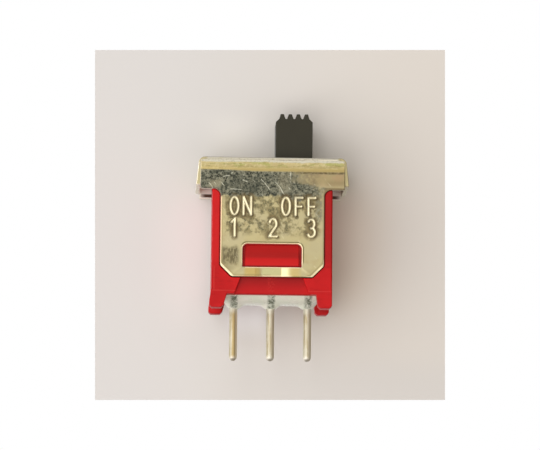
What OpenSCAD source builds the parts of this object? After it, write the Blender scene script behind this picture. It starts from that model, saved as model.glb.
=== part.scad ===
// Sub-miniature slide switch: one pole, two positions, straight pins for a printed board.
//
// Frame: origin on the middle pin's axis in the plane of the board, +X along the row of
// pins and the travel of the handle, +Z up through the handle, -Y towards the front.
// Sizes are in millimetres. The handle stands at the +X end of its travel.

/* [Pins] */
// Spacing of the three pins
pin_pitch = 2.54; // [2.2:0.02:3.2]
// Diameter of a pin below the seal
pin_d = 0.55; // [0.45:0.01:0.66]
// Length of a pin below the board plane
pin_l = 3.42; // [2:0.02:6]
// Step out from a pin's radius to the shank that passes through the floor
shank_step = 0.165; // [0.16:0.005:0.22]
// Height above the board plane where the shank begins
shank_z = 0.2; // [0.1:0.05:0.3]
// Thickness of a terminal's flat head
head_t = 0.3; // [0.2:0.02:0.4]
// Length of an end terminal's head along X
head_l = 1.4; // [1.15:0.05:1.6]
// Width of an end terminal's head along Y
head_w = 1.9; // [1.3:0.05:2.2]

/* [Housing] */
// Distance from an end pin's axis to the end face of the housing
end_margin = 1.57; // [1.45:0.01:2]
// Depth of the housing over its ribs
housing_d = 5.1; // [4.8:0.05:6.4]
// Height of the feet below the walls
foot_h = 0.93; // [0.7:0.01:1.3]
// Height of the walls from their lower edge to the housing's top
wall_h = 8.47; // [7.6:0.01:10.4]
// Thickness of the end walls
end_wall = 0.66; // [0.5:0.02:0.8]
// Inside width of the contact chamber along Y
chamber_w = 2.7; // [2.5:0.05:2.8]
// Depth of the pocket under the floor that holds the seal
pocket_h = 1.37; // [1:0.01:1.7]
// Thickness of the wall round the seal's pocket
pocket_wall = 0.62; // [0.5:0.02:0.8]
// Thickness of the floor that carries the terminals
floor_t = 0.7; // [0.5:0.05:0.9]
// Depth of the channel that takes the bracket's tongue
channel_d = 0.28; // [0.2:0.01:0.34]
// Width of each rib beside the tongue
rib_w = 0.52; // [0.4:0.01:0.7]
// Height of the plain band below the tongue
band_h = 1.11; // [0.9:0.01:1.6]
// Width of the recess in the band at its upper edge
recess_top_l = 4.26; // [3.6:0.02:4.6]
// Width of the recess in the band at its lower edge
recess_bottom_l = 5.1; // [4.7:0.02:5.6]
// Width of a foot along X
foot_l = 0.96; // [0.7:0.02:1.1]
// Depth of a foot along Y
foot_w = 1.05; // [0.8:0.05:1.4]
// Outward lean of the two left feet at the board
foot_splay = 0.13; // [0:0.01:0.2]
// Radius of the housing's upright edges
edge_r = 0.12; // [0.05:0.01:0.25]

/* [Bracket] */
// Thickness of the plated sheet
sheet_t = 0.3; // [0.24:0.01:0.36]
// Overhang of the skirts past each end of the housing
overhang = 0.82; // [0.7:0.01:1.4]
// Height of the skirts
skirt_h = 2.26; // [1.8:0.02:2.7]
// Outer radius of the long bends above the skirts
bend_r = 0.88; // [0.7:0.01:1]
// Outer radius of the short bends above the end flaps
flap_bend_r = 0.45; // [0.4:0.01:0.8]
// Height of the end flaps
flap_h = 1.95; // [1.6:0.01:2.4]
// Outward lean of the end flaps in degrees
flap_lean = 6; // [0:0.5:10]
// Length that the slanting cut takes off each side of the tongue's lower corners
tongue_corner = 0.9; // [0.5:0.02:1.1]
// Radius at both ends of that slanting cut
tongue_corner_r = 0.3; // [0.1:0.05:0.5]
// Radius of the inside corners between skirt and tongue
tongue_fillet_r = 0.5; // [0.2:0.05:0.7]
// Width of the window that the snap lug fills
window_l = 4.04; // [3.6:0.02:4.4]
// Height of the window
window_h = 1.6; // [1.2:0.01:1.8]
// Height of the strap below the window
strap_h = 0.67; // [0.5:0.01:0.9]
// Radius of the window's upper corners
window_r = 0.35; // [0.2:0.01:0.5]

/* [Slider] */
// Travel of the handle from one position to the other
travel = 3.0; // [2.4:0.05:3.6]
// Width of the handle along X
handle_l = 2.54; // [2.2:0.02:3.1]
// Depth of the handle along Y
handle_d = 2.0; // [1.8:0.05:2.3]
// Height of the handle above the bracket
handle_h = 3.24; // [2.6:0.02:5]
// Number of gripping ridges on the handle
ridge_count = 4; // [2:1:5]
// Spacing of the gripping ridges
ridge_pitch = 0.556; // [0.5:0.002:0.66]
// Depth of the notches between the ridges
ridge_h = 0.335; // [0.2:0.005:0.4]
// Width of a ridge's flat top
ridge_flat = 0.22; // [0.15:0.01:0.26]
// Height of the ridges' tops above the handle's shoulders
shoulder_drop = 0.55; // [0.45:0.01:0.7]
// Thickness of the slider's base plate under the bracket
base_t = 0.61; // [0.45:0.01:0.8]
// Diameter of the bore for the plunger and its spring
bore_d = 1.28; // [1.15:0.01:1.36]
// Height of the solid handle above that bore
handle_cap = 4.0; // [3.6:0.1:5]

/* [Contacts] */
// Tilt of the rocker to each side in degrees
tilt = 8; // [6:0.5:10]
// Thickness of the rocker's strip
rocker_t = 0.25; // [0.18:0.01:0.3]
// Width of the rocker
rocker_w = 2.0; // [1.6:0.05:2.2]
// Length of the rocker past each end pin's axis
rocker_past = 0.4; // [0.3:0.02:0.5]
// Radius of the rocker's pivot bead
pivot_r = 0.25; // [0.2:0.01:0.32]
// Height of the pivot's axis above the floor
pivot_h = 0.58; // [0.52:0.01:0.75]
// Diameter of an end contact
contact_d = 1.1; // [0.8:0.05:1.2]
// Radius of an end contact's dome
dome_r = 0.8; // [0.7:0.05:1.5]
// Length of the common terminal's cradle along X
cradle_l = 1.2; // [1:0.05:1.6]
// Thickness of the cradle's cheeks beside the rocker
cheek_t = 0.2; // [0.15:0.01:0.25]
// Height of the cheeks above the pivot's axis
cheek_h = 0.5; // [0.3:0.05:0.8]
// Radius of the plunger's round tip
tip_r = 0.5; // [0.4:0.01:0.55]
// Length of the plunger's guided barrel
barrel_l = 1.5; // [1.2:0.05:1.8]
// Height of the pilot on which the spring sits
pilot_h = 0.35; // [0.2:0.05:0.5]
// Diameter of the spring's wire
wire_d = 0.14; // [0.1:0.01:0.18]
// Spacing of the spring's open turns
spring_pitch = 0.42; // [0.3:0.02:0.6]

/* [Seal] */
// Depth that the seal swells below the walls
belly_h = 0.43; // [0.2:0.01:0.5]
// Height above the board plane to which the seal creeps down a pin
creep_z = 0.2; // [0.14:0.01:0.3]
// Radius of the seal's collar round a pin at the belly
collar_r = 0.8; // [0.6:0.02:1]
// Gap between the swollen seal and the wall's inner edge
belly_inset = 0.08; // [0.04:0.01:0.2]

/* [Fits] */
// Gap between the bracket's tongue and its channel
tongue_gap = 0.05; // [0.03:0.01:0.08]
// Gap between bracket and housing faces
shell_gap = 0.03; // [0.02:0.01:0.05]
// Sliding gap above and below the slider's base plate
slide_gap = 0.04; // [0.03:0.01:0.06]
// Sliding gap beside the slider's block and handle
side_gap = 0.06; // [0.04:0.01:0.1]
// Gap left at each stop of the travel
stop_gap = 0.05; // [0.03:0.01:0.1]
// Gap round the plunger in its bore
bore_gap = 0.04; // [0.03:0.01:0.06]
// Running gap at the pivot, the plunger's tip and the contacts
contact_gap = 0.03; // [0.02:0.005:0.04]
// Gap round a shank in the floor
shank_gap = 0.03; // [0.02:0.01:0.05]
// Gap between the snap lug and each side of the window
lug_side_gap = 0.2; // [0.1:0.01:0.3]
// Gap between the snap lug and the strap that it holds
lug_seat_gap = 0.03; // [0.02:0.01:0.06]
// Gap between the raised rocker and the slider's block
arm_gap = 0.35; // [0.2:0.05:0.6]

/* [Hidden] */
$fn = 64;
eps = 0.01;
cut = 1;

pin_r = pin_d / 2;
shank_r = pin_r + shank_step;

// Housing
housing_l = 2 * (pin_pitch + end_margin);
wall_z = foot_h;
floor_z = wall_z + pocket_h + floor_t;
housing_z = wall_z + wall_h;
core_d = housing_d - 2 * channel_d;
chamber_l = housing_l - 2 * end_wall;
pocket_l = housing_l - 2 * pocket_wall;
pocket_w = core_d - 2 * pocket_wall;
tongue_l = housing_l - 2 * rib_w - 2 * tongue_gap;

// Bracket
bracket_d = core_d + 2 * (shell_gap + sheet_t);
plate_z = housing_z + base_t + 2 * slide_gap;
bracket_z = plate_z + sheet_t;
skirt_l = housing_l + 2 * overhang;
skirt_z = bracket_z - skirt_h;
tongue_z = wall_z + band_h + tongue_gap;
window_z = tongue_z + strap_h;
flap_w = bracket_d - 2 * sheet_t - 4 * tongue_gap;
relief_w = bracket_d - 2 * sheet_t - 0.8 * tongue_gap;
flap_bend_x = skirt_l / 2 + sheet_t / 2 - flap_bend_r;
flap_leg = (flap_h - flap_bend_r + flap_bend_r * sin(flap_lean)) / cos(flap_lean);
ear_r = 0.3;
slot_l = handle_l + travel + 2 * (stop_gap + side_gap);
slot_w = handle_d + 2 * side_gap;
slot_r = 0.12;

// Snap lug
lug_l = window_l - 2 * lug_side_gap;
lug_z = window_z + lug_seat_gap;
lug_h = window_h - 3 * lug_seat_gap;
lug_flat_h = 0.45 * lug_h;
lug_d = channel_d + shell_gap;

// Slider
block_l = chamber_l - travel - 2 * stop_gap;
block_w = chamber_w - 2 * side_gap;
base_l = housing_l - travel;
base_w = bracket_d - 2 * bend_r - 2 * side_gap;
base_z = housing_z + slide_gap;
handle_z = bracket_z + handle_h;
bore_top = handle_z - handle_cap;
ridges_l = (ridge_count - 1) * ridge_pitch + ridge_flat;
notch_w = ridge_pitch - ridge_flat;

// Rocker: its top is an arc about a centre arc_h above the pivot, chosen so that the
// plunger's tip keeps the same gap at both ends and at the middle of the travel.
rocker_top = pivot_r + 0.06;
pivot_z = floor_z + pivot_h;
tip_reach = rocker_top + tip_r + contact_gap;
arc_h = pow(travel / 2, 2) / (travel * sin(tilt) - 2 * tip_reach * (1 - cos(tilt)));
arc_r = arc_h - rocker_top;
under_r = arc_r + rocker_t;
arc_x = arc_h * sin(tilt);
arc_z = pivot_z + arc_h * cos(tilt);
rocker_l = 2 * (pin_pitch + rocker_past);
arm_top = arc_z - sqrt(pow(arc_r, 2) - pow(min(rocker_l / 2 + arc_x, arc_r), 2));
dome_z = arc_z - sqrt(pow(under_r + dome_r + contact_gap, 2) - pow(pin_pitch - arc_x, 2));
head_z = floor_z + head_t;
cradle_w = rocker_w + 2 * (side_gap + cheek_t);
cradle_z = pivot_z - pivot_r * 0.35;

// Plunger and spring
block_z = arm_top + arm_gap;
barrel_r = bore_d / 2 - bore_gap;
tip_z = pivot_z + rocker_top + contact_gap;
barrel_z = block_z + 0.2;
barrel_top = barrel_z + barrel_l;
coil_r = barrel_r - wire_d / 2 - bore_gap;
pilot_r = coil_r - wire_d / 2 - bore_gap;
spring_z = barrel_top + wire_d / 2 + contact_gap;
spring_h = bore_top - contact_gap - wire_d / 2 - spring_z;
end_turns = 0.9;
open_turns = (spring_h - 2 * end_turns * wire_d) / spring_pitch;

red = [0.78, 0.12, 0.13];
nickel = [0.74, 0.72, 0.63];
black = [0.23, 0.22, 0.19];
tin = [0.78, 0.74, 0.64];
silver = [0.86, 0.86, 0.84];
steel = [0.6, 0.6, 0.62];
brass = [0.8, 0.66, 0.36];
resin = [0.84, 0.86, 0.8];

// Rectangle with round corners, centred on the origin
module round_rect(l, w, r) {
    square([l - 2 * r, w], center = true);
    square([l, w - 2 * r], center = true);
    for (sx = [-1, 1], sy = [-1, 1])
        translate([sx * (l / 2 - r), sy * (w / 2 - r)]) circle(r);
}

// Turns an outline drawn in X and Z into a slab centred on y = 0
module upright(depth) {
    rotate([90, 0, 0]) linear_extrude(depth, center = true) children();
}

// Copies to the front and the back
module both_faces() {
    for (turn = [0, 180]) rotate([0, 0, turn]) children();
}

// Outline of skirt and tongue in X and Z, grown by g; it runs up past the bracket's top
module tongue_outline(l, g, top) {
    w = tongue_l / 2 + g;
    low = tongue_z - g;
    r = tongue_corner_r + g;
    k = r * sqrt(0.5);
    f = tongue_fillet_r - g;
    side = [tongue_l / 2 - tongue_corner_r, tongue_z + tongue_corner];
    foot = [tongue_l / 2 - tongue_corner, tongue_z + tongue_corner_r];
    polygon([[-w, top], [-w, side[1]], [-side[0] - k, side[1] - k], [-foot[0] - k, foot[1] - k],
             [-foot[0], low], [foot[0], low], [foot[0] + k, foot[1] - k],
             [side[0] + k, side[1] - k], [w, side[1]], [w, top]]);
    translate([-l / 2, skirt_z - g]) square([l, top - skirt_z + g]);
    for (s = [-1, 1]) {
        translate([s * side[0], side[1]]) circle(r);
        translate([s * foot[0], foot[1]]) circle(r);
        difference() {
            translate([s * (w + f / 2), skirt_z - g - f / 2]) square(f + eps, center = true);
            translate([s * (w + f), skirt_z - g - f]) circle(f);
        }
    }
}

// Section of a plate with two round shoulders, drawn down from z = 0
module channel_section(w, h, r) {
    translate([-w / 2, -h]) square([w, h - r]);
    translate([-w / 2 + r, -h]) square([w - 2 * r, h]);
    for (s = [-1, 1]) translate([s * (w / 2 - r), -r]) circle(r);
}

// Front and back skirts with their tongues, and the plate between them
module skirts_and_plate() {
    height = bracket_z - tongue_z + cut;
    difference() {
        intersection() {
            translate([0, 0, bracket_z]) rotate([90, 0, 90])
                linear_extrude(skirt_l, center = true) difference() {
                    channel_section(bracket_d, height, bend_r);
                    translate([0, -sheet_t])
                        channel_section(bracket_d - 2 * sheet_t, height, bend_r - sheet_t);
                }
            upright(bracket_d + cut) difference() {
                intersection() {
                    tongue_outline(skirt_l, 0, bracket_z + cut);
                    translate([0, bracket_z + eps - wall_h]) round_rect(skirt_l, 2 * wall_h, ear_r);
                }
                window_outline();
            }
        }
        // corner reliefs that part the end flaps from the skirts
        for (s = [-1, 1])
            translate([s * (flap_bend_x + skirt_l / 2), 0, bracket_z])
                cube([skirt_l, relief_w, 2 * skirt_h + 2 * cut], center = true);
    }
}

// Window in the tongue: round upper corners, square lower ones
module window_outline() {
    translate([-window_l / 2, window_z]) square([window_l, window_h - window_r]);
    translate([-window_l / 2 + window_r, window_z]) square([window_l - 2 * window_r, window_h]);
    for (s = [-1, 1])
        translate([s * (window_l / 2 - window_r), window_z + window_h - window_r]) circle(window_r);
}

// Section of one end flap: a bend short of a right angle and a straight leg
module flap_section() {
    r = flap_bend_r;
    translate([flap_bend_x, -r]) {
        intersection() {
            difference() {
                circle(r);
                circle(r - sheet_t);
            }
            polygon([[0, 0], 2 * r * [cos(flap_lean), sin(flap_lean)], 3 * r * [1, 1], [0, 2 * r]]);
        }
        rotate(flap_lean) translate([r - sheet_t, -flap_leg]) square([sheet_t, flap_leg + eps]);
    }
    translate([0, -sheet_t]) square([flap_bend_x, sheet_t]);
}

module bracket() {
    color(nickel) difference() {
        union() {
            skirts_and_plate();
            translate([0, 0, bracket_z]) for (s = [0, 1])
                mirror([s, 0, 0]) upright(flap_w) flap_section();
        }
        translate([0, 0, plate_z - cut]) linear_extrude(sheet_t + 2 * cut)
            round_rect(slot_l, slot_w, slot_r);
    }
}

// Outline of a foot in X and Z; lean moves its lower end outwards
module foot_outline(lean) {
    x = housing_l / 2;
    c = 0.16;
    polygon([[x - foot_l - 0.1, wall_z + eps], [x - foot_l + lean, c], [x - foot_l + lean + c, 0],
             [x + lean - c, 0], [x + lean, c], [x + lean, 0.5 * foot_h], [x, wall_z + 2 * c],
             [x - foot_l - 0.1, wall_z + 2 * c]]);
}

module feet() {
    for (side = [-1, 1], face = [-1, 1])
        translate([0, face * (housing_d - foot_w) / 2, 0])
            mirror([side < 0 ? 1 : 0, 0, 0]) upright(foot_w) foot_outline(side < 0 ? foot_splay : 0);
}

// Wedge that snaps into the bracket's window: a ramp above, a flat and a square ledge below
module snap_lug() {
    face_y = -core_d / 2;
    translate([0, 0, lug_z]) rotate([90, 0, 90]) linear_extrude(lug_l, center = true)
        polygon([[face_y + eps, 0], [face_y - lug_d, 0], [face_y - lug_d, lug_flat_h],
                 [face_y - 0.1 * lug_d, lug_h], [face_y + eps, lug_h]]);
}

module housing() {
    color(red) difference() {
        union() {
            difference() {
                translate([0, 0, wall_z]) linear_extrude(wall_h)
                    round_rect(housing_l, housing_d, edge_r);
                both_faces() translate([0, -housing_d / 2, 0]) upright(2 * channel_d) channel_outline();
            }
            both_faces() snap_lug();
            feet();
        }
        translate([0, 0, floor_z]) linear_extrude(wall_h) round_rect(chamber_l, chamber_w, edge_r);
        translate([0, 0, wall_z - cut]) linear_extrude(pocket_h + cut)
            round_rect(pocket_l, pocket_w, 4 * edge_r);
        for (i = [-1:1]) translate([i * pin_pitch, 0, wall_z])
            cylinder(h = floor_z - wall_z + cut, r = shank_r + shank_gap);
    }
}

// What is cut from each face of the housing: the tongue's channel and the band's recess
module channel_outline() {
    tongue_outline(housing_l + cut, tongue_gap, housing_z + cut);
    polygon([[-recess_top_l / 2, tongue_z + tongue_gap], [-recess_top_l / 2, wall_z + band_h],
             [-recess_bottom_l / 2, wall_z], [-recess_bottom_l / 2, wall_z - cut],
             [recess_bottom_l / 2, wall_z - cut], [recess_bottom_l / 2, wall_z],
             [recess_top_l / 2, wall_z + band_h], [recess_top_l / 2, tongue_z + tongue_gap]]);
}

// Outline of the handle in X and Z: straight sides, shoulders and flat-topped ridges
module handle_outline() {
    top = handle_z;
    half = handle_l / 2;
    crest = ridges_l / 2;
    difference() {
        polygon([[-half, base_z], [half, base_z], [half, top - shoulder_drop],
                 [crest + 0.1, top - ridge_h], [crest, top], [-crest, top],
                 [-crest - 0.1, top - ridge_h], [-half, top - shoulder_drop]]);
        for (i = [1:ridge_count - 1])
            translate([-crest + ridge_flat / 2 + (i - 0.5) * ridge_pitch, top])
                polygon([[-notch_w / 2 - eps, eps], [notch_w / 2 + eps, eps],
                         [0.05, -ridge_h], [-0.05, -ridge_h]]);
    }
}

module slider() {
    color(black) translate([travel / 2, 0, 0]) difference() {
        union() {
            upright(handle_d) handle_outline();
            translate([0, 0, base_z]) linear_extrude(base_t) round_rect(base_l, base_w, 2 * edge_r);
            translate([0, 0, block_z]) linear_extrude(base_z - block_z + base_t / 2)
                round_rect(block_l, block_w, 2 * edge_r);
        }
        translate([0, 0, block_z - cut]) cylinder(h = bore_top - block_z + cut, r = bore_d / 2);
    }
}

module plunger() {
    color(brass) translate([travel / 2, 0, 0]) rotate_extrude() {
        intersection() {
            translate([0, tip_z + tip_r]) circle(tip_r);
            translate([0, tip_z - cut]) square([tip_r + cut, tip_r + cut + eps]);
        }
        translate([0, tip_z + tip_r]) square([tip_r, barrel_z - tip_z - tip_r + eps]);
        translate([0, barrel_z]) square([barrel_r, barrel_l]);
        translate([0, barrel_top - eps]) square([pilot_r, pilot_h + eps]);
    }
}

// Height of the spring's wire after a number of turns: closed, open, closed
function wire_z(turn) =
    turn < end_turns ? turn * wire_d
    : turn < end_turns + open_turns ? end_turns * wire_d + (turn - end_turns) * spring_pitch
    : spring_h - (2 * end_turns + open_turns - turn) * wire_d;

module plunger_spring() {
    sides = 8;
    steps = ceil((2 * end_turns + open_turns) * 20);
    turns = 2 * end_turns + open_turns;
    ring = [for (i = [0:steps]) let (turn = turns * i / steps, a = 360 * turn)
        for (k = [0:sides - 1]) let (b = 360 * k / sides, r = coil_r + wire_d / 2 * cos(b))
            [r * cos(a), r * sin(a), wire_z(turn) + wire_d / 2 * sin(b)]];
    walls = [for (i = [0:steps - 1], k = [0:sides - 1]) let (n = (k + 1) % sides)
        [i * sides + k, i * sides + n, (i + 1) * sides + n, (i + 1) * sides + k]];
    start_cap = [for (k = [sides - 1:-1:0]) k];
    end_cap = [for (k = [0:sides - 1]) steps * sides + k];
    color(steel) translate([travel / 2, 0, spring_z])
        polyhedron(ring, concat(walls, [start_cap, end_cap]));
}

module rocker_contact() {
    color(silver) translate([0, 0, pivot_z]) rotate([0, tilt, 0]) upright(rocker_w) {
        intersection() {
            translate([0, arc_h]) difference() {
                circle(under_r, $fn = 256);
                circle(arc_r, $fn = 256);
            }
            translate([-rocker_l / 2, -pivot_r]) square([rocker_l, arc_h]);
        }
        circle(pivot_r);
    }
}

// Pin and shank of a terminal, drawn for turning about its own axis
module pin_section() {
    intersection() {
        translate([0, pin_r - pin_l]) circle(pin_r);
        translate([0, -pin_l]) square([pin_d, pin_r]);
    }
    translate([0, pin_r - pin_l]) square([pin_r, shank_z + pin_l - pin_r]);
    polygon([[0, shank_z - eps], [pin_r, shank_z - eps], [pin_r, shank_z],
             [shank_r, shank_z + shank_step], [0, shank_z + shank_step]]);
    translate([0, shank_z + shank_step - eps]) square([shank_r, floor_z - shank_z - shank_step + 2 * eps]);
}

module end_terminal(side) {
    color(tin) translate([side * pin_pitch, 0, 0]) {
        rotate_extrude() pin_section();
        translate([0, 0, floor_z]) linear_extrude(head_t) round_rect(head_l, head_w, edge_r);
    }
}

module terminal_common() {
    color(tin) {
        rotate_extrude() pin_section();
        difference() {
            union() {
                translate([-cradle_l / 2, -cradle_w / 2, floor_z])
                    cube([cradle_l, cradle_w, cradle_z - floor_z]);
                for (s = [-1, 1])
                    translate([-cradle_l / 2, s * (cradle_w - cheek_t) / 2 - cheek_t / 2, floor_z])
                        cube([cradle_l, cheek_t, pivot_z + cheek_h - floor_z]);
            }
            translate([0, 0, pivot_z]) rotate([90, 0, 0])
                cylinder(h = rocker_w + 2 * side_gap, r = pivot_r + contact_gap, center = true);
        }
    }
}

module end_contact(side) {
    color(silver) translate([side * pin_pitch, 0, 0]) rotate_extrude() intersection() {
        translate([0, head_z]) square([contact_d / 2, dome_r]);
        translate([0, dome_z]) circle(dome_r);
    }
}

module epoxy_seal() {
    belly_l = pocket_l - 2 * belly_inset;
    belly_w = pocket_w - 2 * belly_inset;
    color(resin) difference() {
        union() {
            translate([0, 0, wall_z]) linear_extrude(pocket_h) round_rect(pocket_l, pocket_w, 4 * edge_r);
            translate([0, 0, wall_z - belly_h]) linear_extrude(belly_h + eps)
                round_rect(belly_l, belly_w, 3 * edge_r);
            for (i = [-1:1]) translate([i * pin_pitch, 0, creep_z])
                cylinder(h = wall_z - belly_h - creep_z + eps, r1 = shank_r + 0.04, r2 = collar_r);
        }
        for (i = [-1:1]) translate([i * pin_pitch, 0, 0]) rotate_extrude() pin_section();
    }
}

bracket();
housing();
slider();
plunger();
plunger_spring();
rocker_contact();
terminal_common();
end_terminal(-1);  // terminal_left
end_terminal(1);  // terminal_right
end_contact(-1);  // contact_left
end_contact(1);  // contact_right
epoxy_seal();
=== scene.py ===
"""Sub-miniature slide switch: softened edges, stamped lettering, finishes, stage and camera.

Shapes and finishes are worked out in millimetres, in the part's own frame: +X runs along the
pins, -Y is the front and +Z goes up through the handle. A mesh is scaled to metres when its
piece is made.
"""
import math
from functools import reduce

import bmesh
import bpy
import numpy as np
from mathutils import Matrix, Vector
from mathutils.bvhtree import BVHTree


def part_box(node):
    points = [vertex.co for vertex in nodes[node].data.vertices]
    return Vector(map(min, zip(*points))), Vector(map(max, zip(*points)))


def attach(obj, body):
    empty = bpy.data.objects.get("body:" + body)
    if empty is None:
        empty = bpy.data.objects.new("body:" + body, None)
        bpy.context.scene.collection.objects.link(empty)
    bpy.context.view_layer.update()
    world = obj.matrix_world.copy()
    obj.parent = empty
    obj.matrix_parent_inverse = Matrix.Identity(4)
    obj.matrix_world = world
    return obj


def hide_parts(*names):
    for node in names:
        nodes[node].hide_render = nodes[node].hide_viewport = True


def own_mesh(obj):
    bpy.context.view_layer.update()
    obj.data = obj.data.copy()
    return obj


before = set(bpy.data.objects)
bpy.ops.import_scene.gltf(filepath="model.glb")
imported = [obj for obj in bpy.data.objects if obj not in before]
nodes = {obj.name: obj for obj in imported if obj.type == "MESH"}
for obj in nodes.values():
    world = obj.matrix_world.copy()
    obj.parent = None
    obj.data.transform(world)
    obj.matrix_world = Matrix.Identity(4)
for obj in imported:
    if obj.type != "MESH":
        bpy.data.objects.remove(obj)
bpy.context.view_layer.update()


# ---------------------------------------------------------------- sizes in millimetres

MM = 0.001

PIN_PITCH = 2.54
PINS = (-PIN_PITCH, 0.0, PIN_PITCH)

# The folded sheet: its box, and the outline of its skirts, tongues and windows
SHEET_LOW, SHEET_HIGH = (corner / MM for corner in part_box("bracket"))
SHEET_T = 0.3
SKIRT_TOP, SKIRT_FOOT = SHEET_HIGH.z - 0.88, SHEET_HIGH.z - 2.26
END_FLAP_TOP, END_FLAP_INSIDE = SHEET_HIGH.z - 0.4, SHEET_HIGH.x - 0.7
TONGUE_FOOT = SHEET_LOW.z
TONGUE_HALF_W = 3.54
TONGUE_CORNER = 0.9
STRAP_H = 0.67
WINDOW_HALF_L, WINDOW_HALF_H, WINDOW_R = 2.02, 0.8, 0.3
WINDOW_Z = TONGUE_FOOT + STRAP_H + WINDOW_HALF_H

# The camera looks at TARGET from the front, from a little below and to the left
AZIMUTH, ELEVATION, ROLL = math.radians(-1.9), math.radians(-8.1), math.radians(0.56)
DISTANCE, VIEW_W = 207.0, 37.26
TARGET = Vector((-0.08, 0, 6.02))


# ---------------------------------------------------------------- shader values

class Value:
    """A socket in a material. Arithmetic on it adds Math nodes, and node() adds any other node."""

    def __init__(self, tree, socket=None):
        self.tree, self.socket = tree, socket

    def node(self, kind, settings, inputs, output=0):
        """Adds a node: its settings come first, then the values or links of its inputs."""
        made = self.tree.nodes.new(kind)
        for name, setting in settings.items():
            setattr(made, name, setting)
        for name, value in inputs.items():
            if isinstance(value, Value):
                self.tree.links.new(value.socket, made.inputs[name])
            else:
                made.inputs[name].default_value = value
        return Value(self.tree, made.outputs[output])

    def math(self, operation, *values):
        return self.node("ShaderNodeMath", {"operation": operation}, dict(enumerate(values)))

    def __add__(self, other):
        return self.math("ADD", self, other)

    def __radd__(self, other):
        return self.math("ADD", other, self)

    def __sub__(self, other):
        return self.math("SUBTRACT", self, other)

    def __rsub__(self, other):
        return self.math("SUBTRACT", other, self)

    def __mul__(self, other):
        return self.math("MULTIPLY", self, other)

    def __rmul__(self, other):
        return self.math("MULTIPLY", other, self)

    def __neg__(self):
        return self.math("MULTIPLY", self, -1.0)

    def __abs__(self):
        return self.math("ABSOLUTE", self)

    def either(self, other):
        """The greater of the two, which joins two masks."""
        return self.math("MAXIMUM", self, other)

    def at_most(self, other):
        return self.math("MINIMUM", self, other)

    def root(self):
        return self.math("SQRT", self)

    def step(self, low, high):
        """0 below low, 1 above high, smooth between."""
        return self.node("ShaderNodeMapRange", {"interpolation_type": "SMOOTHSTEP"},
                         {"Value": self, "From Min": low, "From Max": high})

    def band(self, low, high, soft):
        """1 between low and high, with soft edges."""
        return self.step(low - soft, low + soft) * (1 - self.step(high - soft, high + soft))

    def mix(self, a, b):
        """Colour a where this value is 0, colour b where it is 1."""
        return self.node("ShaderNodeMix", {"data_type": "RGBA"}, {0: self, 6: a, 7: b}, 2)

    def noise(self, scale, detail=3.0, rough=0.5, distort=0.0):
        return self.node("ShaderNodeTexNoise", {}, {
            "Vector": self, "Scale": scale, "Detail": detail, "Roughness": rough,
            "Distortion": distort})

    def stretched(self, lengths, turn=(0, 0, 0)):
        """These coordinates turned, then divided so that a pattern on them is that much longer."""
        return self.node("ShaderNodeMapping", {"vector_type": "TEXTURE"}, {
            "Vector": self, "Rotation": turn, "Scale": lengths})

    def place_in_mm(self):
        """The object's own coordinates in millimetres."""
        place = self.node("ShaderNodeTexCoord", {}, {}, "Object")
        return self.node("ShaderNodeVectorMath", {"operation": "SCALE"},
                         {0: place, "Scale": 1 / MM})

    def parts(self):
        made = self.node("ShaderNodeSeparateXYZ", {}, {0: self})
        return [Value(self.tree, socket) for socket in made.socket.node.outputs]


def any_of(masks):
    """One mask for all the places that at least one of these covers."""
    return reduce(Value.either, masks)


def rgb(red, green, blue):
    """A colour written in the usual 0 to 255, as the linear colour that a shader takes."""
    def linear(level):
        level /= 255
        return level / 12.92 if level <= 0.04045 else ((level + 0.055) / 1.055) ** 2.4
    return (linear(red), linear(green), linear(blue), 1.0)


class Finish:
    """A material with one Principled shader, and the colour painted on it so far.

    at is the object's own coordinates in millimetres, and x, y and z are its parts.
    """

    def __init__(self, name, **constants):
        self.material = bpy.data.materials.new(name)
        self.material.use_nodes = True
        tree = self.material.node_tree
        self.shader = tree.nodes["Principled BSDF"]
        for socket, value in constants.items():
            self.shader.inputs[socket.replace("_", " ")].default_value = value
        self.start = Value(tree)
        self.at = self.start.place_in_mm()
        self.x, self.y, self.z = self.at.parts()
        self.color = None

    def ground(self, mask, first, second):
        """Starts the colour: the first where the mask is 0, the second where it is 1."""
        self.color = mask.mix(first, second)

    def paint(self, mask, color):
        """Lays a colour over the ones so far, as thickly as the mask says."""
        self.color = mask.mix(self.color, color)

    def set(self, **values):
        for socket, value in values.items():
            self.start.tree.links.new(value.socket, self.shader.inputs[socket.replace("_", " ")])

    def bump(self, height, depth, strength=0.6):
        """A height from 0 to 1 stands for a depth in millimetres."""
        self.set(Normal=self.start.node("ShaderNodeBump", {}, {
            "Strength": strength, "Distance": depth * MM, "Height": height}))

    def attribute(self, name):
        return self.start.node("ShaderNodeAttribute", {"attribute_name": name}, {}, "Fac")


# ---------------------------------------------------------------- finishes of the bracket

# Single scratches on the front skirt, from one place (x, z) to another
SCRATCH_HALF_W = 0.04
SCRATCHES = (
    ((-0.8, 8.8), (-0.3, 8.2)), ((0.15, 8.6), (0.45, 8.3)), ((0.45, 8.3), (0.8, 7.75)),
    ((-2.85, 8.12), (-2.15, 8.08)), ((-3.4, 8.95), (-2.95, 9.05)), ((1.23, 9.25), (1.2, 8.85)),
    ((-2.0, 8.75), (-1.75, 8.6)))


def fine_scratches(at, turn, length, scale, amount):
    """Fine straight scratches in the X-Z plane, turned about Y."""
    lines = at.stretched((length, 1.0, 1.0), (0, turn, 0)).noise(scale, 2.0, 0.55)
    return lines.step(amount, amount + 0.06)


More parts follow.
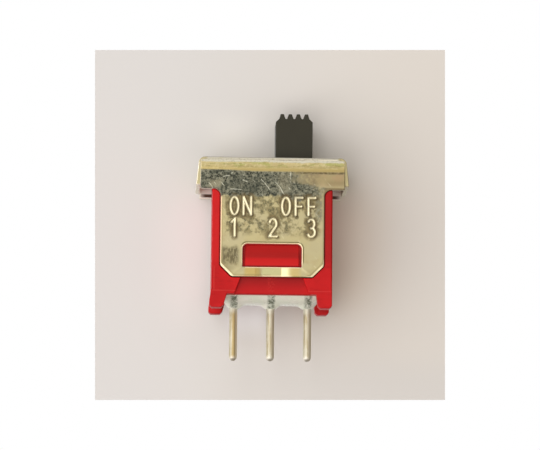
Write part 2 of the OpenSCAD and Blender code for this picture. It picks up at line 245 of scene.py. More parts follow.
def scratch(x, z, start, end):
    """One straight scratch."""
    run_x, run_z = end[0] - start[0], end[1] - start[1]
    from_x, from_z = x - start[0], z - start[1]
    along = (from_x * run_x + from_z * run_z) * (1 / (run_x ** 2 + run_z ** 2))
    along = along.either(0.0).at_most(1.0)
    off_x, off_z = from_x - along * run_x, from_z - along * run_z
    away = (off_x * off_x + off_z * off_z).root()
    return 1 - away.step(0.3 * SCRATCH_HALF_W, SCRATCH_HALF_W)


class BracketPlating(Finish):
    """Tin plate on the folded sheet. Each method lays on one kind of mark."""

    def __init__(self):
        super().__init__("bracket_plating")
        at, y = self.at, self.y
        self.cloud = at.noise(1.3, 4.0, 0.6)
        self.speck = at.noise(6.5, 4.0, 0.75)
        self.grit = at.noise(6.0, 4.0, 0.75)
        self.lumps = at.noise(1.7, 4.0, 0.65)
        self.ragged = at.noise(2.6, 5.0, 0.7) - 0.5
        # outer skirts and tongues, and the front ones alone
        self.face = abs(y).step(2.2, 2.45)
        self.front = self.face * (1 - y.step(-0.1, 0.1))
        # the bends at the top, wherever an end flap doesn't cover them
        end_flap = abs(self.x).step(4.4, 4.6) * (1 - abs(y).step(2.2, 2.28))
        fold = self.z + 0.1 * self.x.step(-3.8, -1.0) + 0.06 * (self.speck - 0.5)
        above_fold = fold.step(9.38, 9.5)
        self.bend = abs(y).step(1.5, 1.8) * above_fold * (1 - end_flap)
        self.below_fold = 1 - above_fold

    def plain_sheet(self):
        """Warm grey all over, browner on the right end of the front skirt, with painted shadow
        along its foot.
        """
        x, z, front = self.x, self.z, self.front
        soft = self.at.noise(0.45, 3.0, 0.55)
        self.ground(soft.step(0.35, 0.65), rgb(153, 144, 112), rgb(155, 145, 107))
        self.paint(self.cloud.step(0.5, 0.72) * 0.6, rgb(144, 129, 92))
        skirt = front * x.step(1.8, 3.2) * z.step(8.1, 8.7)
        self.paint(skirt * 0.8, rgb(134, 119, 85))
        self.paint(skirt * self.lumps.step(0.45, 0.6) * 0.5, rgb(144, 120, 92))
        self.paint(skirt * x.step(3.4, 3.9) * (1 - z.step(8.5, 8.95)) * 0.6, rgb(112, 101, 72))
        # painted shadow along the foot of the front skirt's right end
        shaded_foot = front * x.step(3.45, 3.6) * (1 - z.step(SKIRT_FOOT + 0.09, SKIRT_FOOT + 0.17))
        self.paint(shaded_foot * 0.75, rgb(96, 80, 56))

    def strap(self):
        """Painted reflections: brown, grey-green and pale flats between the creases below the
        window.
        """
        x = self.x
        strap_top = TONGUE_FOOT + STRAP_H
        strap = self.front * (1 - self.z.step(strap_top - 0.11, strap_top + 0.03))
        self.paint(strap * x.band(-1.86, -0.80, 0.14) * 0.8, rgb(164, 142, 84))
        # painted shade in a crease
        self.paint(strap * x.band(-1.16, -1.08, 0.05) * 0.6, rgb(150, 124, 70))
        self.paint(strap * x.band(-0.7, 0.6, 0.1), rgb(157, 152, 112))
        # a painted highlight on the palest flat
        self.paint(strap * x.step(0.6, 0.68) * (1 - x.step(0.95, 1.35)), rgb(190, 184, 141))
        self.paint(strap * x.band(1.25, 1.9, 0.18) * 0.6, rgb(166, 145, 88))

    def darkened_corner(self):
        """A darker lower left corner, with a streaked darker patch above it, left of the window."""
        x, z, front, ragged = self.x, self.z, self.front, self.ragged
        corner = front * (1 - x.step(-3.0, -2.1)) * (1 - (z + 0.3 * ragged).step(2.6, 3.3))
        self.paint(corner * 0.6, rgb(112, 106, 80))
        streaks = self.at.stretched((1.0, 1.0, 3.0)).noise(7.0, 4.0, 0.7)
        streaked_patch = front * x.band(-3.44, -2.3, 0.16) * (z + 0.6 * ragged).band(3.0, 4.1, 0.2)
        self.paint(streaked_patch * (0.45 + 0.45 * streaks.step(0.4, 0.56)), rgb(78, 70, 50))

    def rims(self):
        """Painted shade and highlights along the window and the tongue's outline, and a burnished
        rim.
        """
        x, z, front = self.x, self.z, self.front
        across = (abs(x) - (WINDOW_HALF_L - WINDOW_R)).either(0.0)
        up = (abs(z - WINDOW_Z) - (WINDOW_HALF_H - WINDOW_R)).either(0.0)
        from_window = (across * across + up * up).root() - WINDOW_R
        # painted shade: a dark line just outside the window's top and down its right side
        shaded_window_edge = z.step(4.15, 4.4).either(x.step(0.5, 1.5) * z.step(2.9, 3.2))
        self.paint(front * from_window.band(0.065, 0.15, 0.03) * shaded_window_edge * 0.85, rgb(84, 80, 46))
        slant_start = TONGUE_HALF_W - TONGUE_FOOT - TONGUE_CORNER
        slant = (abs(x) - z - slant_start) * math.sqrt(0.5)
        outline = (abs(x) - TONGUE_HALF_W).either(TONGUE_FOOT - z).either(slant)
        # where the tongue's rounded edges face the light: a line of painted shade inside, a painted
        # highlight on the edge
        lit_outline = (1 - x.step(-0.2, 0.0)).either(slant.step(-0.3, -0.2)) * (1 - z.step(8.0, 8.2))
        self.paint(front * outline.band(-0.17, -0.09, 0.03) * lit_outline * 0.45, rgb(110, 98, 66))
        pale = slant.step(-0.3, -0.1).mix(rgb(214, 170, 140), rgb(206, 194, 160))
        self.paint(front * outline.step(-0.07, -0.045) * lit_outline * 0.75, pale)
        # the window's burnished rim brightened with a painted highlight, and a painted highlight
        # along the tongue's foot
        sole_highlight = (1 - z.step(TONGUE_FOOT + 0.07, TONGUE_FOOT + 0.11)) * x.band(-0.7, 1.3, 0.2)
        rim = from_window.band(-0.1, 0.05, 0.02).either(sole_highlight)
        self.paint(front * rim * 0.8, rgb(226, 198, 166))

    def bends(self):
        """Painted reflections: nearly white bends above, yellow ones below, with greenish tarnish.
        """
        at, z, cloud, speck = self.at, self.z, self.cloud, self.speck
        high = (z + 0.25 * (cloud - 0.5) + 0.15 * (speck - 0.5)).step(9.95, 10.06)
        tarnish = at.stretched((2.4, 1.0, 0.8)).noise(2.3, 3.0, 0.6).step(0.48, 0.64)
        gold = tarnish.mix(rgb(212, 193, 138), rgb(182, 178, 106))
        rolled = at.stretched((5.0, 1.0, 0.7)).noise(6.0, 3.0, 0.7)
        gold = (rolled.step(0.5, 0.62) * 0.5).mix(gold, rgb(142, 130, 72))
        gold = (speck.step(0.5, 0.62) * 0.55).mix(gold, rgb(232, 218, 170))
        # painted shade where the bend turns down into the flat
        shaded_foot = 1 - (z + 0.08 * (speck - 0.5)).step(9.46, 9.8)
        gold = (shaded_foot * (0.85 + 0.15 * self.x.step(-3.6, -2.0))).mix(gold, rgb(146, 130, 84))
        # the nearly white painted highlight, greyer higher up
        white = z.step(10.2, 10.34).mix(rgb(222, 214, 192), rgb(160, 155, 142))
        white = (speck.step(0.5, 0.64) * 0.6).mix(white, rgb(160, 154, 124))
        self.paint(self.bend, high.mix(gold, white))

    def scratches(self):
        """The mask of fine scratches in two directions and of a few single ones that waver."""
        at, ragged = self.at, self.ragged
        lines = fine_scratches(at, 0.9, 7.0, 8.0, 0.67).either(
            fine_scratches(at, -0.7, 5.0, 10.0, 0.68))
        wavy_x, wavy_z = self.x + 0.25 * (self.cloud - 0.5), self.z + 0.12 * ragged
        deep = any_of(scratch(wavy_x, wavy_z, start, end) for start, end in SCRATCHES)
        return lines.either(deep * (0.3 + 0.7 * self.speck.step(0.4, 0.55)))

    def dark_mottled_patch(self, lines):
        """The dark mottled patch below the bend, which thins to the right. Gives its mask."""
        x, z, front, ragged = self.x, self.z, self.front, self.ragged
        grit, speck = self.grit, self.speck
        low_edge = (z + 0.9 * ragged + 0.3 * x.band(1.1, 2.1, 0.25)).step(7.5, 7.75)
        right_edge = 1 - (x + 1.6 * z.step(8.2, 8.7) + 2.6 * ragged).step(2.7, 4.0)
        patch = front * low_edge * right_edge
        strip = front * z.band(9.2, 9.4, 0.06) * x.step(1.0, 2.0) * speck.step(0.4, 0.5)
        margin = front * x.band(2.9, 3.4, 0.12) * (z + 1.5 * ragged).band(6.0, 8.1, 0.3)
        hazy_z = (z + 0.6 * ragged).band(8.2, 9.3, 0.2)
        hazy = front * (x + 1.5 * ragged).band(1.2, 3.1, 0.5) * hazy_z
        self.paint(hazy * (0.25 + 0.45 * grit.step(0.4, 0.6)), rgb(96, 84, 66))
        backs = self.face * self.y.step(0, 0.1) * (self.cloud + 0.5 * ragged).step(0.46, 0.74)
        dark = patch.either(strip).either(margin * grit.step(0.4, 0.55) * 0.8)
        dark = dark.either(backs * 0.4) * self.below_fold

        tone = grit.step(0.38, 0.62).mix(rgb(42, 44, 37), rgb(126, 124, 106))
        tone = (self.lumps.step(0.4, 0.62) * 0.35).mix(tone, rgb(58, 64, 56))
        worn = (x + 0.3 * ragged).band(-4.3, -3.5, 0.15) * (z + 0.3 * ragged).band(8.2, 8.7, 0.12)
        worn = worn.either(x.band(0.4, 1.3, 0.25) * z.band(7.9, 9.3, 0.25) * 0.6)
        tone = (worn * 0.5).mix(tone, rgb(150, 143, 118))
        deeper = x.band(-2.9, -1.1, 0.3) * z.band(7.8, 8.8, 0.2)
        tone = (deeper * 0.35).mix(tone, rgb(44, 47, 40))
        tone = (strip * 0.8).mix(tone, rgb(94, 80, 50))
        tone = (lines * 0.6).mix(tone, rgb(206, 204, 184))
        self.paint(dark * (0.88 + 0.12 * speck.step(0.3, 0.5)), tone)
        self.paint(lines * self.face * self.below_fold * 0.25 * (1 - dark), rgb(206, 198, 168))
        return dark

    def smudged_letters(self, dark):
        """Smudges round the stamped letters, painted shade on one side of each stroke, and pale
        grooves with a painted highlight.
        """
        x, z, lumps, ragged = self.x, self.z, self.lumps, self.ragged
        close = self.attribute("closeness")
        groove = close.step(0.74, 0.84)
        worked = self.front * z.step(4.75, 5.3) * (1 - z.step(7.7, 8.0))
        worked = worked * (1 - abs(x).step(3.1, 3.4))
        smudge = (lumps + 0.6 * ragged + 0.12 * close + 0.03 * (z - 6)).step(0.40, 0.57)
        smudge_tone = self.grit.step(0.36, 0.6).mix(rgb(60, 59, 44), rgb(118, 108, 76))
        self.paint(worked * smudge * 0.85 * (1 - dark), smudge_tone)
        halo = close.step(0.1, 0.6) * (1 - groove) * (lumps - 0.6 * ragged).step(0.34, 0.54)
        self.paint(halo * 0.65, rgb(88, 74, 48))
        # painted shade on one side of each stroke
        self.paint(self.attribute("shaded_side") * (1 - groove) * 0.75, rgb(62, 50, 30))
        # the grooves' clean plating, made paler still as a painted highlight
        self.paint(groove * 0.55, rgb(250, 240, 205))

    def back_skirt_light_and_shade(self):
        """The inner face of the back skirt, painted white as if lit, with a painted shadow line.
        Gives its mask.
        """
        x, z = self.x, self.z
        lit_inner_face = self.y.band(2.15, 2.32, 0.01) * (1 - abs(x).step(5.0, 5.1))
        lit_inner_face = lit_inner_face * (1 - z.step(8.8, 8.9))
        self.paint(lit_inner_face, rgb(255, 250, 238))
        # a line of painted shadow across the inner face
        line = lit_inner_face * z.band(8.22, 8.45, 0.04) * (1 - abs(x).step(4.5, 5.1))
        self.paint(line, rgb(84, 60, 46))
        return lit_inner_face


def bracket_plating():
    f = BracketPlating()
    f.plain_sheet()
    f.strap()
    f.darkened_corner()
    f.rims()
    f.bends()
    lines = f.scratches()
    dark = f.dark_mottled_patch(lines)
    f.smudged_letters(dark)
    lit_inner_face = f.back_skirt_light_and_shade()
    f.set(Base_Color=f.color,
          Metallic=0.9 - 0.9 * lit_inner_face,
          Roughness=0.36 + 0.18 * dark + 0.08 * (f.speck - 0.5) - 0.06 * f.bend)
    f.bump(f.speck * (0.35 + dark) + lines * 0.3 + f.cloud, 0.012)
    return f.material


def bracket_cut_edge():
    """The sheet's cut edges: pale burrs, browner at the right end and under the tongues in painted
    shade.
    """
    f = Finish("bracket_cut_edge", Metallic=0.85)
    burr = f.at.stretched((0.4, 1.6, 0.4)).noise(6.0, 3.0, 0.6)
    # pale, browner towards the right end in painted shade
    f.ground(f.x.step(3.0, 4.5), rgb(240, 232, 216), rgb(164, 154, 116))
    f.paint(burr.step(0.4, 0.65) * 0.6, rgb(206, 190, 156))
    # painted shade on the tongues' lower cut edges
    low_tongue = abs(f.y).step(2.25, 2.28) * (1 - f.z.step(3.0, 3.1))
    tongue_foot_shade = low_tongue * (1 - f.z.step(2.5, 2.7)).either(abs(f.x).step(2.4, 2.6))
    f.paint(tongue_foot_shade * 0.9, rgb(96, 58, 44))
    f.set(Base_Color=f.color, Roughness=0.36 + 0.2 * burr)
    f.bump(burr, 0.02)
    return f.material


# ---------------------------------------------------------------- finishes of the other pieces

def housing_plastic():
    """Red moulded plastic with flow marks, and painted shade where it lies deeper."""
    f = Finish("housing_plastic", Specular_IOR_Level=0.15)
    at, x, y, z = f.at, f.x, f.y, f.z
    soft = at.noise(0.7, 3.0, 0.5)
    grain = at.noise(12.0, 3.0, 0.6)
    flow = at.stretched((3.5, 1.0, 0.8)).noise(2.2, 3.0, 0.6, 0.4)
    f.ground(soft.step(0.35, 0.65), rgb(188, 14, 17), rgb(199, 18, 21))
    f.paint(flow.step(0.5, 0.72) * 0.6, rgb(172, 11, 15))
    f.paint(at.noise(22.0, 2.0).step(0.66, 0.76) * 0.3, rgb(228, 84, 78))
    # the band's recess, darker towards the tongue above in painted shade, with a weld line up its
    # middle
    recess = abs(y).band(2.2, 2.4, 0.02) * (1 - z.step(2.2, 2.4))
    f.paint(recess * 0.9, z.step(1.1, 2.05).mix(rgb(188, 17, 20), rgb(148, 10, 13)))
    weld = abs(y).step(2.0, 2.2) * (1 - z.step(2.1, 2.3)) * (1 - abs(x + 0.03).step(0.08, 0.34))
    weld = weld * at.noise(8.0, 4.0, 0.7).step(0.45, 0.62)
    f.paint(weld * 0.7, rgb(200, 46, 42))
    # ribs beside the tongue, and faint pale lines on the pads below
    outermost = abs(y).step(2.45, 2.5)
    rib = outermost * z.step(2.4, 3.6)
    f.paint(rib * 0.8, x.step(0, 1).mix(rgb(206, 28, 28), rgb(164, 19, 17)))
    # painted shadow on the ribs along the tongue's edges
    f.paint(rib * (1 - abs(x).step(3.58, 3.7)) * 0.5, rgb(126, 10, 12))
    level = z.band(1.11, 1.17, 0.02) * abs(x).step(2.2, 2.4)
    upright = abs(x + 3.94).band(-1, 0.03, 0.02) * z.band(1.2, 2.8, 0.1)
    f.paint(outermost * level.either(upright) * 0.35, rgb(226, 74, 68))
    # the snap lug in the window, darker above in painted shade under the window's top edge
    lug = abs(y).step(2.2, 2.3) * (1 - abs(x).step(2.0, 2.1)) * z.band(2.7, 4.45, 0.02)
    f.paint(lug * 0.9, z.step(3.25, 3.5).mix(rgb(206, 26, 26), rgb(174, 28, 26)))
    # painted shadow in the gap round the lug and under it
    lug_gap_shadow = lug * (abs(x).step(1.82, 1.9)).either(1 - z.step(2.84, 2.92))
    f.paint(lug_gap_shadow * 0.7, rgb(118, 12, 16))
    f.set(Base_Color=f.color, Roughness=0.42 + 0.14 * (grain - 0.5) + 0.1 * flow)
    f.bump(grain * 0.5 + flow + weld, 0.014)
    return f.material


def handle_plastic():
    """Matt black plastic, worn paler on the gripping ridges."""
    f = Finish("handle_plastic", Specular_IOR_Level=0.25)
    grain = f.at.noise(14.0, 3.0, 0.6)
    f.ground(f.at.noise(1.2, 2.0), rgb(42, 39, 27), rgb(48, 45, 32))
    f.paint(f.z.step(13.35, 13.6) * grain.step(0.5, 0.7) * 0.25, rgb(74, 70, 58))
    f.set(Base_Color=f.color, Roughness=0.56 + 0.2 * (grain - 0.5))
    f.bump(grain, 0.012)
    return f.material


def seal_resin():
    """Milky resin, mottled grey where it creeps down the front of each pin: part residue, part
    painted shade, with painted highlights.
    """
    f = Finish("seal_resin", Specular_IOR_Level=0.5)
    cloud = f.at.noise(1.4, 3.0, 0.55)
    fleck = f.at.stretched((1.0, 2.0, 0.8)).noise(4.0, 3.0, 0.65, 0.6)
    f.ground(cloud.step(0.35, 0.65), rgb(246, 243, 231), rgb(236, 239, 222))
    wavy = f.x + 0.3 * (fleck - 0.5)
    neck = any_of(1 - abs(wavy - pin).step(0.12, 0.36) for pin in PINS)
    neck = neck * (1 - f.y.step(-0.45, -0.25)) * f.y.step(-1.9, -1.5)
    # part residue, part painted shade, flecked with painted highlights
    mottle_shade_and_glints = fleck.step(0.36, 0.64).mix(rgb(96, 104, 84), rgb(208, 211, 196))
    mottle_shade_and_glints = f.at.noise(7.0, 3.0, 0.7).step(0.58, 0.66).mix(mottle_shade_and_glints, rgb(252, 252, 244))
    f.paint(neck, mottle_shade_and_glints)
    f.set(Base_Color=f.color, Roughness=0.22 + 0.2 * neck + 0.1 * cloud)
    f.bump(cloud + fleck * neck, 0.05)
    return f.material


def terminal_plating():
    """Tinned brass drawn lengthwise: pale right sides as painted highlights, pale tips, bronze on
    the left pin.
    """
    f = Finish("terminal_plating")
    at, x, z = f.at, f.x, f.z
    drawn = at.stretched((1, 1, 10)).noise(8.0, 3.0, 0.6)
    lump = at.noise(1.6, 3.0, 0.55)
    fleck = at.noise(9.0, 4.0, 0.7)
    f.ground(drawn.step(0.4, 0.62), rgb(174, 167, 148), rgb(158, 146, 118))
    f.paint(lump.step(0.5, 0.7) * 0.5, rgb(184, 179, 162))
    left_pin, *other_pins = PINS
    bronze = (x - left_pin + 0.08 * (drawn - 0.5)).band(-0.08, 0.15, 0.04)
    f.paint(bronze * 0.85, rgb(162, 141, 96))
    # painted highlights down the right side of each pin
    pale = any_of((x - pin).band(0.06, 0.4, 0.06) for pin in other_pins) * 0.45
    pale = pale.either((x - left_pin).band(0.15, 0.4, 0.04) * 0.9)
    f.paint(pale, rgb(236, 224, 198))
    tip = 1 - (z + 0.3 * (lump - 0.5)).step(-3.3, -3.0)
    f.paint(tip * 0.6, rgb(222, 216, 206))
    neck = (z + 0.3 * (fleck - 0.5)).step(-0.3, 0.2)
    f.paint(neck * 0.8, rgb(206, 204, 188))
    f.set(Base_Color=f.color,
          Metallic=0.9 - 0.5 * neck,
          Roughness=0.42 + 0.16 * lump + 0.1 * (drawn - 0.5))
    f.bump(drawn * 0.4 + lump * 0.6 + neck * 0.5, 0.02)
    return f.material


def plain_metal(name, light, shade, rough, scale):
    """A drawn or turned metal with faint marks."""
    f = Finish(name, Metallic=1.0)
    marks = f.at.stretched((3, 3, 1)).noise(scale, 3.0, 0.6)
    f.ground(marks.step(0.35, 0.65), light, shade)
    f.set(Base_Color=f.color, Roughness=rough + 0.16 * (marks - 0.5))
    f.bump(marks, 0.006, 0.5)
    return f.material


# ---------------------------------------------------------------- ways of shaping

def copy_of(node):
    """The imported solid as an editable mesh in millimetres, its loose triangles merged."""
    bm = bmesh.new()
    bm.from_mesh(nodes[node].data)
    bmesh.ops.scale(bm, vec=(1 / MM,) * 3, verts=bm.verts)
    bmesh.ops.remove_doubles(bm, verts=bm.verts, dist=0.002)
    bmesh.ops.dissolve_limit(bm, angle_limit=math.radians(0.6), verts=bm.verts, edges=bm.edges)
    return bm


def soften(bm, radius, segments=2, sharper_than=40):
    """Rounds every edge where the surface turns by more than sharper_than degrees.

    Where short edges meet the rounding can overshoot, so a vertex that ends up far from the
    surface is put back on it.
    """
    surface = BVHTree.FromBMesh(bm)
    sharp = [e for e in bm.edges
             if len(e.link_faces) == 2 and e.calc_face_angle() > math.radians(sharper_than)]
    bmesh.ops.bevel(bm, geom=sharp, offset=radius, offset_type="OFFSET", segments=segments,
                    profile=0.5, affect="EDGES", clamp_overlap=False, material=-1,
                    loop_slide=True)
    for v in bm.verts:
        nearest, _, _, distance = surface.find_nearest(v.co)
        if distance > 1.2 * radius:
            v.co = nearest


def slice_up(bm, faces, normal, places):
    """Cuts these faces by parallel planes and returns the faces between the cuts."""
    edges = {e for f in faces for e in f.edges}
    verts = {v for f in faces for v in f.verts}
    geom = list({*faces, *edges, *verts})
    for place in places:
        cut = bmesh.ops.bisect_plane(bm, geom=geom, dist=1e-5, plane_co=normal * place,
                                     plane_no=normal)
        geom = cut["geom"]
    return [g for g in geom if isinstance(g, bmesh.types.BMFace)]


def fine_patch(bm, chosen, low, high, spacing):
    """Divides the part of the chosen flat faces between low and high (x, z) into a fine grid."""
    across, up = Vector((1, 0, 0)), Vector((0, 0, 1))

    def inside(face):
        c = face.calc_center_bounds()
        return low[0] < c.x < high[0] and low[1] < c.z < high[1]

    faces = slice_up(bm, chosen, across, (low[0], high[0]))
    faces = slice_up(bm, faces, up, (low[1], high[1]))
    faces = [f for f in faces if inside(f)]
    faces = slice_up(bm, faces, across, np.arange(low[0] + spacing, high[0] - 1e-6, spacing))
    return slice_up(bm, faces, up, np.arange(low[1] + spacing, high[1] - 1e-6, spacing))


def piece_from(bm, name, body, replaced, materials, smooth_below=32):
    """Makes the finished piece from a mesh in millimetres and ties it to the frame."""
    bmesh.ops.scale(bm, vec=(MM,) * 3, verts=bm.verts)
    mesh = bpy.data.meshes.new(name)
    bm.to_mesh(mesh)
    bm.free()
    for material in materials:
        mesh.materials.append(material)
    mesh.polygons.foreach_set("use_smooth", [True] * len(mesh.polygons))
    mesh.set_sharp_from_angle(angle=math.radians(smooth_below))
    piece = bpy.data.objects.new(name, mesh)
    bpy.context.scene.collection.objects.link(piece)
    flats = piece.modifiers.new("flats_stay_flat", "WEIGHTED_NORMAL")
    flats.keep_sharp = True
    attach(piece, body)
    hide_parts(*replaced)
    return piece


# ---------------------------------------------------------------- bracket

def arc(cx, cz, rx, rz, start, end, count=14):
    """Points on an ellipse's arc in a letter's cell, from start to end degrees."""
    angles = [math.radians(start + (end - start) * i / count) for i in range(count + 1)]
    return [(cx + rx * math.cos(a), cz + rz * math.sin(a)) for a in angles]


# Each letter's strokes in a cell of 1 by 1
GLYPHS = {
    "O": [arc(0.5, 0.5, 0.46, 0.5, 90, 450, 28)],
    "N": [[(0.06, 0.0), (0.06, 1.0), (0.94, 0.0), (0.94, 1.0)]],
    "F": [[(0.12, 0.0), (0.12, 1.0), (0.92, 1.0)], [(0.12, 0.5), (0.78, 0.5)]],
    "1": [[(0.2, 0.78), (0.55, 1.0), (0.55, 0.0)]],
    "2": [arc(0.5, 0.72, 0.4, 0.28, 165, -35) + [(0.08, 0.0), (0.94, 0.0)]],
    "3": [arc(0.47, 0.74, 0.36, 0.26, 150, -90), arc(0.47, 0.25, 0.42, 0.25, 90, -150)],
}
GLYPH_W, GLYPH_H = 0.58, 1.2
CELL_PITCH = 0.878
FIRST_CELL_X = -2.63
STROKE_HALF_W = 0.11
STROKE_DEPTH = 0.08

# The rows of lettering, a cell for each letter, and how high along Z each row stands
ROWS = [("ON  OFF", 6.36), ("1  2  3", 4.88)]

# The lettered field from its low corner (x, z) to its high one, and the grid that divides it
LETTERED_LOW, LETTERED_HIGH, LETTERED_GRID = (-3.4, 4.44), (3.4, 8.02), 0.032

# How far to the side of a stroke, in x and z, its shade falls
SHADE_SHIFT = np.array((0.11, -0.05))

# How far the strap below the window is coined inwards, by place along X
STRAP_HALF_L, STRAP_GRID = 1.96, 0.07
STRAP_CREASES = [(-STRAP_HALF_L, 0), (-1.86, 0.0), (-1.12, 0.03), (-0.72, 0.085),
                 (0.62, 0.085), (1.02, 0.02), (1.34, 0), (STRAP_HALF_L, 0)]


def stroke_segments():
    """Both ends of every stroke of the stamped lettering, in X and Z."""
    ends = []
    for text, base in ROWS:
        for cell, letter in enumerate(text):
            left = FIRST_CELL_X + cell * CELL_PITCH - GLYPH_W / 2
            for line in GLYPHS.get(letter, []):
                points = [(left + GLYPH_W * u, base + GLYPH_H * v) for u, v in line]
                ends += zip(points, points[1:])
    return np.array(ends)


def distance_to_strokes(points, segments):
    """How far each point is from the nearest stroke."""
    best = np.full(len(points), np.inf)
    for start, end in segments:
        run = end - start
        along = np.clip((points - start) @ run / (run @ run), 0, 1)
        off = np.linalg.norm(points - start - along[:, None] * run, axis=1)
        best = np.minimum(best, off)
    return best


def is_cut_edge(face):
    """True for the narrow sides of the sheet, which are paler and have burrs."""
    c, n = face.calc_center_bounds(), face.normal
    inner_y = SHEET_HIGH.y - SHEET_T - 0.01
    if abs(c.y) > inner_y and c.z < SKIRT_TOP:
        return abs(n.y) < 0.8
    if abs(c.y) < inner_y and abs(c.x) > END_FLAP_INSIDE and c.z < END_FLAP_TOP:
        return abs(n.x) < 0.75
    end_of_bend = abs(n.x) > 0.7
    wall_of_slot = abs(c.y) < 1.3 and abs(n.z) < 0.7
    return end_of_bend or wall_of_slot


def front_faces(bm):
    """The flat faces of the front skirt and tongue."""
    return [f for f in bm.faces
            if f.normal.y < -0.999 and f.calc_center_bounds().y < SHEET_LOW.y + 0.01]


def clipped(value):
    """The value, no less than 0 and no more than 1."""
    return min(1, max(0, value))


def stamp_letters(bm, closeness, shaded_side):
    """Presses the lettering in, and notes for the finish how close each vertex is to it.

    A stroke has a flat floor and sloping sides. Closeness is 1 on its middle line and fades out
    four half widths away.
    """
    lettered = fine_patch(bm, front_faces(bm), LETTERED_LOW, LETTERED_HIGH, LETTERED_GRID)
    verts = list({v for f in lettered for v in f.verts})
    points = np.array([(v.co.x, v.co.z) for v in verts])
    segments = stroke_segments()
    away = distance_to_strokes(points, segments)
    away_shifted = distance_to_strokes(points - SHADE_SHIFT, segments)
    for v, off, off_shifted in zip(verts, away, away_shifted):
        v.co.y += STROKE_DEPTH * clipped(1.4 * (1 - off / STROKE_HALF_W))
        v[closeness] = clipped(1 - off / (4 * STROKE_HALF_W))
        v[shaded_side] = clipped(1.6 * (1 - off_shifted / (1.3 * STROKE_HALF_W)))


def coin_strap(bm):
    """Presses the strap below the window in, with four creases."""
    low = (-STRAP_HALF_L, TONGUE_FOOT - 0.01)
    high = (STRAP_HALF_L, TONGUE_FOOT + STRAP_H - 0.02)
    strap = fine_patch(bm, front_faces(bm), low, high, STRAP_GRID)
    for v in {v for f in strap for v in f.verts}:
        v.co.y += float(np.interp(v.co.x, *zip(*STRAP_CREASES)))


def model_bracket():
    bm = copy_of("bracket")
    closeness = bm.verts.layers.float.new("closeness")
    shaded_side = bm.verts.layers.float.new("shaded_side")
    soften(bm, radius=0.05)
    bm.normal_update()
    for face in bm.faces:
        face.material_index = int(is_cut_edge(face))
    stamp_letters(bm, closeness, shaded_side)
    coin_strap(bm)
    return piece_from(bm, "bracket_sheet", "case", ["bracket"],
                      [bracket_plating(), bracket_cut_edge()])


# ---------------------------------------------------------------- other pieces

def model_housing():
    bm = copy_of("housing")
    soften(bm, radius=0.05)
    return piece_from(bm, "housing_shell", "case", ["housing"],
                      [housing_plastic()])


def model_slider():
    bm = copy_of("slider")
    soften(bm, radius=0.025)
    return piece_from(bm, "slider_handle", "slide", ["slider"],
                      [handle_plastic()])


def model_spring():
    """The wire coil, tied to the slide with a mesh of its own; the real coil shortens towards its
    upper seat as the plunger rises.
    """
    wire = plain_metal("spring_steel", rgb(176, 176, 180), rgb(120, 120, 126), rough=0.3, scale=8.0)
    piece = piece_from(copy_of("plunger_spring"), "spring_coil", "slide",
                       ["plunger_spring"], [wire])
    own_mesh(piece)
    return piece


def model_seal():
    """Resin that sags below the walls and creeps a little way down each pin."""
    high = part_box("epoxy_seal")[1] / MM
    half_x, half_y, top_z = high.x - 0.02, high.y - 0.02, high.z - 0.05
    wall_z, sag_depth, ripple_depth = 0.93, 0.50, 0.012
    creep_depth, creep_width, pin_reach = 0.27, 0.30, 0.28
    bm = bmesh.new()
    bmesh.ops.create_grid(bm, x_segments=150, y_segments=60, size=1)
    for v in bm.verts:
        u, w = v.co.x, v.co.y
        x, y = u * half_x, w * half_y
        sag = sag_depth * (1 - abs(w) ** 2.4) * (1 - abs(u) ** 12)
        from_pin = max(0, min(math.hypot(x - pin, y) for pin in PINS) - pin_reach)
        creep = creep_depth * math.exp(-(from_pin / creep_width) ** 2) * (1 - abs(w) ** 8)
        wave = math.sin(3.1 * x + 1.3 * math.sin(2.2 * y))
        ripple = ripple_depth * wave * (1 - w * w)
        v.co = (x, y, wall_z - sag - creep + ripple)
    rim = bmesh.ops.extrude_edge_only(bm, edges=[e for e in bm.edges if e.is_boundary])["geom"]
    for v in {g for g in rim if isinstance(g, bmesh.types.BMVert)}:
        v.co.z = top_z
    bmesh.ops.contextual_create(bm, geom=[e for e in bm.edges if e.is_boundary])
    bmesh.ops.recalc_face_normals(bm, faces=bm.faces)
    return piece_from(bm, "seal_resin", "case", ["epoxy_seal"], [seal_resin()])


def finish_packed_solids():
    """Gives a finish to the solids that are shown as they are packed."""
    terminal = terminal_plating()
    silver = plain_metal("contact_silver", rgb(232, 230, 224), rgb(196, 192, 182),
                         rough=0.2, scale=5.0)
    brass = plain_metal("plunger_brass", rgb(214, 176, 104), rgb(184, 144, 78),
                        rough=0.25, scale=6.0)
    finishes = {
        "plunger": brass,
        "rocker_contact": silver, "contact_left": silver, "contact_right": silver,
        "terminal_common": terminal, "terminal_left": terminal, "terminal_right": terminal,
    }
    for node, material in finishes.items():
        mesh = nodes[node].data
        mesh.materials.clear()
        mesh.materials.append(material)


# ---------------------------------------------------------------- camera, stage and lamps

def camera_turn():
    """The camera's rotation, and the direction from TARGET to the camera."""
    back = Vector((math.sin(AZIMUTH) * math.cos(ELEVATION),
                   -math.cos(AZIMUTH) * math.cos(ELEVATION), math.sin(ELEVATION)))
    side = Vector((0, 0, 1)).cross(back).normalized()
    level = Matrix((side, back.cross(side), back)).transposed()
    return level @ Matrix.Rotation(ROLL, 3, "Z"), back


def place_camera():
    turn, back = camera_turn()
    data = bpy.data.cameras.new("camera")
    data.sensor_width = 36
    data.lens = data.sensor_width * DISTANCE / VIEW_W
    data.clip_start = 0.001
    camera = bpy.data.objects.new("camera", data)
    bpy.context.scene.collection.objects.link(camera)
    camera.matrix_world = Matrix.Translation((TARGET + DISTANCE * back) * MM) @ turn.to_4x4()
    bpy.context.scene.camera = camera


# The card's width as it shows level with TARGET, and how far behind that it stands
CARD_W, CARD_BEHIND = 24.15, 3.3

